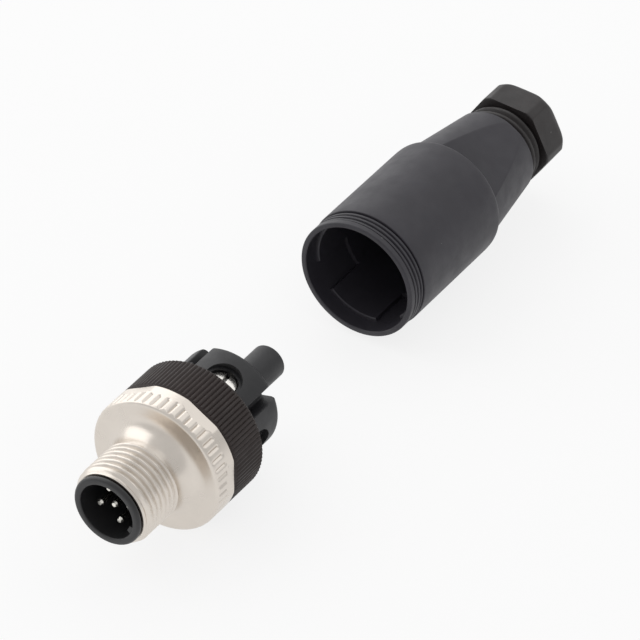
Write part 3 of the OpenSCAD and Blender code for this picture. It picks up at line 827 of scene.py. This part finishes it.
class CONNECTOR_OT_pin_insert(bpy.types.Operator):
    """Make the pin insert with its rounded lip and coding key"""

    bl_idname = "connector.pin_insert"
    bl_label = "Pin Insert"

    def execute(self, context):
        size = context.scene.connector_insert
        lip = radius_of("pin_insert")
        half = size.lip_length / 2
        back = place_of("pin_insert", 1)
        depth, recess = size.recess_depth, size.recess_radius
        edge, key_front = 0.2 * MM, 0.55 * MM
        outline = [(depth, 0.0)]
        outline += fine([(depth, 0.6 * MM), (depth, recess)], 0.6 * MM)
        outline += fine([(depth, recess), (key_front, recess)], 1 * MM)[1:]
        outline += [(key_front - 0.05 * MM, recess), (edge, recess)]
        outline += round_edge((edge, recess + edge), edge, 180, 270, 4)[1:]
        outline += round_edge((half, lip - half), half, -90, 90, 14)
        outline += [(size.lip_length, size.tube_radius), (back, size.tube_radius), (back, 0.0)]
        key_reach = recess - size.key_height

        def raise_key(place, radius, angle):
            turn = nearest(angle, size.key_angle, 1)
            in_recess = key_front - 0.03 * MM < place <= depth and abs(radius - recess) < 0.01 * MM
            if not in_recess or abs(turn) > 0.5:
                return place, radius
            side = abs(radius * math.sin(turn))
            share = smooth_step((size.key_width / 2 + 0.05 * MM - side) / (0.1 * MM))
            return place, radius + (key_reach - radius) * share

        body = turned("moulded_pin_insert", outline, 360, raise_key)
        place_piece(body, "carrier", "pin_insert", "insert_plastic")
        return {"FINISHED"}


class CONNECTOR_OT_terminal_block(bpy.types.Operator):
    """Make the terminal block with its four lobes, holes, post and lug"""

    bl_idname = "connector.terminal_block"
    bl_label = "Terminal Block"

    def execute(self, context):
        size = context.scene.connector_block
        key = context.scene.connector_insert.key_angle
        first_lobe = key - LOBE_TURN
        first_slot = first_lobe + math.radians(45)
        front, back = place_of("terminal_block", 0), place_of("terminal_block", 1)
        lobe, slot_floor = size.lobe_radius, size.slot_floor
        flange_front, flange_back, flange = size.flange_front, size.flange_back, size.flange_radius
        lobe_back, post = size.lobe_back, size.post_radius
        core = 3.2 * MM
        flange_edge, lobe_edge, post_foot, post_edge = 0.1 * MM, 1 * MM, 0.2 * MM, 0.4 * MM
        lobe_front = flange_back + 0.02 * MM
        outline = [(front, 0.0), (front, 1 * MM), (front, size.hub_radius)]
        outline += [(flange_front, size.hub_radius), (flange_front, flange - flange_edge)]
        outline += round_edge((flange_front + flange_edge, flange - flange_edge), flange_edge, -90, 0, 3)
        outline += round_edge((flange_back - flange_edge, flange - flange_edge), flange_edge, 0, 90, 3)
        outline += [(flange_back, lobe), (lobe_front, lobe)]
        outline += fine([(lobe_front, lobe), (lobe_back - lobe_edge, lobe)], 0.8 * MM)[1:]
        outline += round_edge((lobe_back - lobe_edge, lobe - lobe_edge), lobe_edge, 0, 90, 8)[1:]
        outline += fine([(lobe_back, lobe - lobe_edge), (lobe_back, post + post_foot)], 0.5 * MM)[1:]
        outline += round_edge((lobe_back + post_foot, post + post_foot), post_foot, 270, 180, 4)[1:]
        outline += [(back - post_edge, post)]
        outline += round_edge((back - post_edge, post - post_edge), post_edge, 0, 90, 6)[1:]
        outline += [(back, 1 * MM), (back, 0.0)]
        inner_half = math.asin(size.slot_width / 2 / lobe) * 0.85
        outer_half = math.asin(size.slot_width / 2 / lobe) * 1.35

        def cut_slots(place, radius, angle):
            if place <= flange_back + 0.01 * MM or radius <= core:
                return place, radius
            turn = abs(nearest(angle, first_slot, 4))
            filled = smooth_step((turn - inner_half) / (outer_half - inner_half))
            share = (slot_floor + (lobe - slot_floor) * filled - core) / (lobe - core)
            return place, core + (radius - core) * share

        body = turned("moulded_terminal_block", outline, 384, cut_slots)
        cutters = []
        entry = size.entry_radius
        for i in range(4):
            angle = first_lobe + math.radians(90 * i)
            place, rim = size.screw_place, lobe + 1 * MM
            cutters += [
                spoke("Hole", place, angle, size.hole_radius, size.hole_floor - 0.6 * MM, rim),
                spoke("Hole mouth", place, angle, size.hole_mouth, lobe - 0.9 * MM, rim),
                rod("Wire entry", lobe_back - 2.2 * MM, lobe_back + 1 * MM, entry, entry,
                    angle, size.wire_radius),
                rod("Wire funnel", lobe_back - 0.4 * MM, lobe_back + 0.4 * MM, entry, entry + 0.8 * MM,
                    angle, size.wire_radius),
            ]
        post_floor = size.post_screw_top - size.post_screw_length
        cutters += [
            rod("Post entry", back - 1.5 * MM, back + 1 * MM, 1.0 * MM, 1.0 * MM),
            spoke("Post hole", back - size.post_inset, first_lobe + POST_TURN,
                  size.post_screw_radius + 0.15 * MM, post_floor, post + 1 * MM),
        ]
        combine(body, cutters, "DIFFERENCE")
        combine(body, [self.lug(size, first_slot - math.pi)], "UNION")
        place_piece(body, "carrier", "terminal_block", "block_plastic")
        return {"FINISHED"}

    def lug(self, size, angle):
        """Block with rounded edges that keeps the housing from turning."""
        solid = bmesh.new()
        bmesh.ops.create_cube(solid, size=1.0)
        base = size.slot_floor - 0.4 * MM
        scale = Matrix.Diagonal((size.lug_length, size.lug_width, size.lug_radius - base, 1.0))
        bmesh.ops.transform(solid, matrix=scale, verts=solid.verts)
        bmesh.ops.bevel(
            solid, geom=list(solid.edges), offset=0.25 * MM, segments=3, profile=0.5, affect="EDGES"
        )
        middle = size.flange_back + size.lug_gap + size.lug_length / 2
        move = Matrix.Translation((FRONT + middle, 0, AXIS_Z)) @ Matrix.Rotation(angle - math.pi / 2, 4, "X")
        move = move @ Matrix.Translation((0, 0, (size.lug_radius + base) / 2))
        bmesh.ops.transform(solid, matrix=move, verts=solid.verts)
        return shown("Lug", solid)


class CONNECTOR_OT_terminals(bpy.types.Operator):
    """Make the five slotted terminal screws and finish the contacts"""

    bl_idname = "connector.terminals"
    bl_label = "Terminals"

    def execute(self, context):
        size = context.scene.connector_block
        first_lobe = context.scene.connector_insert.key_angle - LOBE_TURN
        post_place = place_of("terminal_block", 1) - size.post_inset
        tree = screw_tree()
        for i in range(5):
            dress(f"contact_{i + 1}", finish_for("contact_metal"))
            on_post = i == 4
            screw = shown(f"slotted_screw_{i + 1}", bmesh.new())
            radius = size.post_screw_radius if on_post else size.screw_radius
            top = size.post_screw_top if on_post else size.screw_top
            run_tree(screw, tree, {
                "Place": post_place if on_post else size.screw_place,
                "Angle": first_lobe + (POST_TURN if on_post else math.radians(90 * i)),
                "Radius": radius, "Bottom": top - (size.post_screw_length if on_post else size.screw_length),
                "Top": top, "Dome": size.screw_dome * radius / size.screw_radius,
                "Slot width": 0.3 * radius, "Slot depth": 0.55 * radius,
                "Slot turn": math.radians(SLOT_TURNS[i]), "Material": finish_for("screw_steel"),
            })
            place_piece(screw, f"terminal_screw_{i + 1}", f"terminal_screw_{i + 1}", "screw_steel")
        return {"FINISHED"}


class CONNECTOR_OT_union_ring(bpy.types.Operator):
    """Make the ribbed union ring"""

    bl_idname = "connector.union_ring"
    bl_label = "Union Ring"

    def execute(self, context):
        size = context.scene.connector_ring
        rim, edge = radius_of("union_ring"), size.edge
        front, back = place_of("union_ring", 0), place_of("union_ring", 1)
        outline = [(front, size.hub_radius)]
        outline += fine([(front, size.hub_radius), (front, rim - edge)], 0.5 * MM)[1:]
        outline += fine([(front, rim - edge), (front + edge, rim)], 0.12 * MM)[1:]
        outline += fine([(front + edge, rim), (back - edge, rim)], 0.5 * MM)[1:]
        outline += fine([(back - edge, rim), (back, rim - edge)], 0.12 * MM)[1:]
        outline += [(back, size.bore_radius + 0.3 * MM), (back - 0.3 * MM, size.bore_radius)]
        outline += [(front + size.wall, size.bore_radius), (front + size.wall, size.hub_radius)]
        body = turned("ribbed_union_ring", outline, 8 * size.rib_count)
        run_tree(body, notch_tree(), {
            "Count": size.rib_count, "Share": 0.72, "Start": front - 1 * MM, "End": back + 1 * MM,
            "Run-out": 0.1 * MM, "Crest radius": rim, "Least radius": size.bore_radius + 0.35 * MM,
            "Depth": size.rib_height, "Material": finish_for("ring_plastic"),
        })
        place_piece(body, "union_ring", "union_ring", "ring_plastic")
        return {"FINISHED"}


class CONNECTOR_OT_housing(bpy.types.Operator):
    """Make the housing with its threaded mouth, key grooves, taper and wrench flats"""

    bl_idname = "connector.housing"
    bl_label = "Housing"

    def execute(self, context):
        size = context.scene.connector_housing
        thread = context.scene.connector_threads
        key = context.scene.connector_insert.key_angle
        first_groove = key + GROOVE_TURN
        barrel, mouth, bore = radius_of("housing"), size.mouth_radius, size.bore_radius
        rim, tail = place_of("housing", 0), place_of("housing", 1)
        mouth_end = rim + size.mouth_length
        barrel_end = rim + size.barrel_length
        taper_start = barrel_end + size.shoulder_length
        chamber_end = rim + size.chamber_depth
        mouth_edge, mouth_chamfer, barrel_edge, tail_edge = 0.2 * MM, 0.12 * MM, 0.15 * MM, 0.15 * MM
        relief_start, relief = mouth_end - 0.3 * MM, mouth - 0.4 * MM
        outline = [(rim, size.mouth_bore + mouth_chamfer), (rim, mouth - mouth_edge)]
        outline += round_edge((rim + mouth_edge, mouth - mouth_edge), mouth_edge, -90, 0, 4)[1:]
        outline += fine([(rim + mouth_edge, mouth), (relief_start, mouth)], 0.06 * MM)[1:]
        outline += [(relief_start, relief), (mouth_end, relief), (mouth_end, barrel - barrel_edge)]
        outline += round_edge((mouth_end + barrel_edge, barrel - barrel_edge), barrel_edge, -90, 0, 4)[1:]
        outline += fine([(mouth_end + barrel_edge, barrel), (barrel_end, barrel)], 2 * MM)[1:]
        shoulder_rows = 12
        for i in range(1, shoulder_rows + 1):
            turn = math.radians(90 * i / shoulder_rows)
            outline.append((
                barrel_end + size.shoulder_length * math.sin(turn) * (2 - math.sin(turn)),
                barrel - size.shoulder_step * (1 - math.cos(turn)),
            ))
        taper = [
            (taper_start + 0.03 * MM, barrel - size.shoulder_step - 0.004 * MM),
            (tail - tail_edge, size.tail_radius + 0.02 * MM),
        ]
        outline += fine(taper, 0.35 * MM)
        outline += round_edge((tail - tail_edge, size.tail_radius - 0.13 * MM), tail_edge, 0, 90, 4)
        gland, gland_end = size.gland_bore, tail - size.gland_bore_depth
        seat, seat_end, opening = size.seal_seat, chamber_end + size.chamber_wall, size.cable_opening
        outline += [(tail, gland), (tail - 4 * MM, gland), (gland_end, gland), (gland_end, seat)]
        outline += [(seat_end, seat), (seat_end, opening), (chamber_end, opening)]
        outline += [(chamber_end, 5.5 * MM), (chamber_end, bore)]
        groove_end = rim + size.groove_depth
        ledge = rim + size.mouth_bore_depth
        outline += fine([(chamber_end, bore), (groove_end + 0.08 * MM, bore)], 2 * MM)[1:]
        outline += fine([(groove_end, bore), (ledge + 0.1 * MM, bore)], 1 * MM)
        outline += [(ledge + 0.05 * MM, bore + 0.05 * MM), (ledge, bore + 0.15 * MM)]
        outline += [(ledge, size.mouth_bore), (rim + 1 * MM, size.mouth_bore)]
        outline += [(rim + mouth_chamfer, size.mouth_bore)]
        half_groove = size.groove_span / 2
        flat_reach = math.radians(60)
        turn_blend = math.radians(0.6)

        def shape(place, radius, angle):
            if radius > size.wrench_radius and place > taper_start + 0.01 * MM:
                turn = nearest(angle, size.wrench_angle, 2)
                if abs(turn) < flat_reach:
                    radius = soft_min(radius, size.wrench_radius / math.cos(turn), 0.05 * MM)
            elif ledge <= place <= groove_end + 0.001 * MM and radius < size.mouth_bore:
                turn = abs(nearest(angle, first_groove, 4))
                share = smooth_step((half_groove - turn) / turn_blend)
                radius = radius + (size.mouth_bore - radius) * share
            return place, radius

        body = turned("tapered_housing", outline, 480, shape)
        run_tree(body, thread_tree(), {
            "Pitch": thread.mouth_pitch, "Crest share": 0.4, "Start": rim + size.plain_lip,
            "End": mouth_end - 0.2 * MM, "Run-out": 0.12 * MM, "Crest radius": mouth,
            "Least radius": size.mouth_bore + 0.2 * MM,
            "Depth": thread.mouth_depth, "Material": finish_for("housing_plastic"),
        })
        place_piece(body, "housing", "housing", "housing_plastic")
        return {"FINISHED"}


class CONNECTOR_OT_gland_nut(bpy.types.Operator):
    """Make the pressing screw with its thread and hexagonal head"""

    bl_idname = "connector.gland_nut"
    bl_label = "Pressing Screw"

    def execute(self, context):
        size = context.scene.connector_nut
        thread = context.scene.connector_threads
        front, back = place_of("gland_nut", 0), place_of("gland_nut", 1)
        head = back - size.head_length
        crest, bore, top = size.thread_radius, size.bore_radius, size.corner_radius
        neck = crest - 0.7 * MM
        edge, chamfer, front_edge = size.edge, 0.5 * MM, 0.2 * MM
        thread_end = head - size.undercut
        outline = [(front, bore), (front, crest - chamfer), (front + chamfer, crest)]
        outline = fine(outline, 0.15 * MM)
        outline += fine([(front + chamfer, crest), (thread_end, crest)], 0.09 * MM)[1:]
        outline += [(thread_end + 0.15 * MM, neck), (head, neck), (head, neck + 0.3 * MM)]
        outline += fine([(head, neck + 0.3 * MM), (head, top - front_edge)], 0.3 * MM)[1:]
        outline += round_edge((head + front_edge, top - front_edge), front_edge, -90, 0, 4)[1:]
        outline += fine([(head + front_edge, top), (back - edge, top)], 0.5 * MM)[1:]
        outline += round_edge((back - edge, top - edge), edge, 0, 90, 14)[1:]
        outline += fine([(back, top - edge), (back, bore + 1.2 * MM)], 0.3 * MM)[1:]
        outline += [(back - 1 * MM, bore), (back - 6 * MM, bore), (front + 2 * MM, bore)]

        def cut_hexagon(place, radius, angle):
            if place < head - 0.001 * MM or radius < neck + 0.5 * MM:
                return place, radius
            turn = nearest(angle, size.flat_angle, 6)
            flat = size.flat_radius / math.cos(turn)
            rear = max(0.0, place - (back - edge)) / edge
            flat -= 0.35 * MM * rear ** 3
            return place, soft_min(radius, flat, 0.08 * MM)

        body = turned("hexagonal_pressing_screw", outline, 432, cut_hexagon)
        run_tree(body, thread_tree(), {
            "Pitch": thread.gland_pitch, "Crest share": 0.2, "Start": front - 1 * MM, "End": head - 0.5 * MM,
            "Run-out": 0.4 * MM, "Crest radius": crest, "Least radius": bore + 1.5 * MM,
            "Depth": thread.gland_depth, "Material": finish_for("nut_plastic"),
        })
        place_piece(body, "gland_nut", "gland_nut", "nut_plastic")
        return {"FINISHED"}


class CONNECTOR_OT_seals(bpy.types.Operator):
    """Finish the seals and the thrust ring"""

    bl_idname = "connector.seals"
    bl_label = "Seals"

    def execute(self, context):
        dress("body_seal", finish_for("seal_rubber"))
        dress("cable_seal", finish_for("seal_rubber"))
        dress("thrust_ring", finish_for("block_plastic"))
        return {"FINISHED"}


# Stage

def floor_finish(tint, glow_share):
    """Pale floor that shows white behind the object and keeps its soft shadow."""
    finish = bpy.data.materials.new("Floor")
    finish.use_nodes = True
    nodes, links = finish.node_tree.nodes, finish.node_tree.links
    nodes.clear()
    matt = nodes.new("ShaderNodeBsdfDiffuse")
    matt.inputs["Color"].default_value = (*tint, 1.0)
    glow = nodes.new("ShaderNodeEmission")
    glow.inputs["Strength"].default_value = 1.0
    path = nodes.new("ShaderNodeLightPath")
    seen = nodes.new("ShaderNodeMath")
    seen.operation = "MAXIMUM"
    links.new(path.outputs["Is Camera Ray"], seen.inputs[0])
    links.new(path.outputs["Is Glossy Ray"], seen.inputs[1])
    share = nodes.new("ShaderNodeMath")
    share.operation = "MULTIPLY"
    share.inputs[1].default_value = glow_share
    links.new(seen.outputs[0], share.inputs[0])
    mix = nodes.new("ShaderNodeMixShader")
    links.new(share.outputs[0], mix.inputs[0])
    links.new(matt.outputs[0], mix.inputs[1])
    links.new(glow.outputs[0], mix.inputs[2])
    output = nodes.new("ShaderNodeOutputMaterial")
    links.new(mix.outputs[0], output.inputs["Surface"])
    return finish


def softbox(name, spot, aim, width, height, power):
    """Rectangular soft lamp that faces its aim."""
    lamp = bpy.data.lights.new(name, "AREA")
    lamp.shape = "RECTANGLE"
    lamp.size, lamp.size_y = width, height
    lamp.energy = power
    holder = bpy.data.objects.new(name, lamp)
    holder.location = spot
    holder.rotation_mode = "QUATERNION"
    holder.rotation_quaternion = (Vector(aim) - Vector(spot)).to_track_quat("-Z", "Y")
    bpy.context.scene.collection.objects.link(holder)


class CONNECTOR_OT_stage(bpy.types.Operator):
    """Make the floor, the soft lamps, the world and the camera"""

    bl_idname = "connector.stage"
    bl_label = "Stage"

    def execute(self, context):
        size = context.scene.connector_stage
        scene = context.scene
        span, sink, world_strength = 3.0, 0.05 * MM, 0.68
        floor = bpy.data.meshes.new("Floor")
        corners = [(-span, -span, 0), (span, -span, 0), (span, span, 0), (-span, span, 0)]
        floor.from_pydata(corners, [], [(0, 1, 2, 3)])
        ground = bpy.data.objects.new("Floor", floor)
        scene.collection.objects.link(ground)
        ground.location.z = -sink
        floor.materials.append(floor_finish(scene.connector_colours.floor, glow_share=0.82))
        world = bpy.data.worlds.new("Studio")
        world.use_nodes = True
        light = world.node_tree.nodes["Background"]
        light.inputs["Color"].default_value = (1.0, 1.0, 1.0, 1.0)
        light.inputs["Strength"].default_value = world_strength * size.light_level
        scene.world = world
        middle = (0.0, 0.0, AXIS_Z)
        level = size.light_level
        softbox("Left box", (0.1, 0.85, 0.55), middle, 1.9, 1.4, 8.0 * level)
        softbox("Rear box", (0.6, -0.15, 0.7), middle, 0.9, 0.9, 1.0 * level)
        scene.camera = self.camera(scene, size)
        scene.view_settings.view_transform = "Standard"
        return {"FINISHED"}

    def camera(self, scene, size):
        """Camera on the same line of sight as the aim, turned about its view by the roll."""
        lens = bpy.data.cameras.new("Camera")
        lens.lens = size.focal_length
        lens.sensor_width = 36.0
        lens.clip_start, lens.clip_end = 0.05, 20.0
        camera = bpy.data.objects.new("Camera", lens)
        cos_up, sin_up = math.cos(size.elevation), math.sin(size.elevation)
        look = Vector((cos_up * math.cos(size.heading), cos_up * math.sin(size.heading), -sin_up))
        aim = Vector((FRONT + 45.5 * MM, -3.6 * MM, AXIS_Z + 4.0 * MM))
        camera.rotation_mode = "QUATERNION"
        camera.rotation_quaternion = look.to_track_quat("-Z", "Y")
        camera.location = aim - look * size.camera_distance
        roll = Matrix.Rotation(size.roll, 4, "Z")
        camera.rotation_quaternion = (camera.rotation_quaternion.to_matrix().to_4x4() @ roll).to_quaternion()
        scene.collection.objects.link(camera)
        return camera


class CONNECTOR_PT_panel(bpy.types.Panel):
    """Lists the connector's pieces"""

    bl_idname = "CONNECTOR_PT_panel"
    bl_label = "M12 Connector"
    bl_space_type = "VIEW_3D"
    bl_region_type = "UI"
    bl_category = "Connector"

    def draw(self, context):
        for maker in MAKERS:
            self.layout.operator(maker.bl_idname)
        for name in SETTINGS:
            box = self.layout.box()
            group = getattr(context.scene, name)
            for item in group.bl_rna.properties:
                if item.identifier not in {"rna_type", "name"}:
                    box.prop(group, item.identifier)


SETTINGS = {
    "connector_threads": ThreadSizes,
    "connector_coupling_screw": CouplingScrewSizes,
    "connector_insert": InsertSizes,
    "connector_block": BlockSizes,
    "connector_ring": RingSizes,
    "connector_housing": HousingSizes,
    "connector_nut": NutSizes,
    "connector_colours": FinishColours,
    "connector_stage": StageSizes,
}
MAKERS = (
    CONNECTOR_OT_stage,
    CONNECTOR_OT_coupling_screw,
    CONNECTOR_OT_pin_insert,
    CONNECTOR_OT_terminal_block,
    CONNECTOR_OT_terminals,
    CONNECTOR_OT_union_ring,
    CONNECTOR_OT_housing,
    CONNECTOR_OT_gland_nut,
    CONNECTOR_OT_seals,
)


def register():
    """Registers the property groups, the operators and the panel."""
    for group in SETTINGS.values():
        bpy.utils.register_class(group)
    for name, group in SETTINGS.items():
        setattr(bpy.types.Scene, name, PointerProperty(type=group))
    for maker in MAKERS:
        bpy.utils.register_class(maker)
    bpy.utils.register_class(CONNECTOR_PT_panel)


def unregister():
    """Takes everything back out."""
    bpy.utils.unregister_class(CONNECTOR_PT_panel)
    for maker in reversed(MAKERS):
        bpy.utils.unregister_class(maker)
    for name in SETTINGS:
        delattr(bpy.types.Scene, name)
    for group in reversed(list(SETTINGS.values())):
        bpy.utils.unregister_class(group)


def main():
    """Makes the whole connector."""
    register()
    for maker in MAKERS:
        family, action = maker.bl_idname.split(".")
        getattr(getattr(bpy.ops, family), action)()


if __name__ == "__main__":
    main()
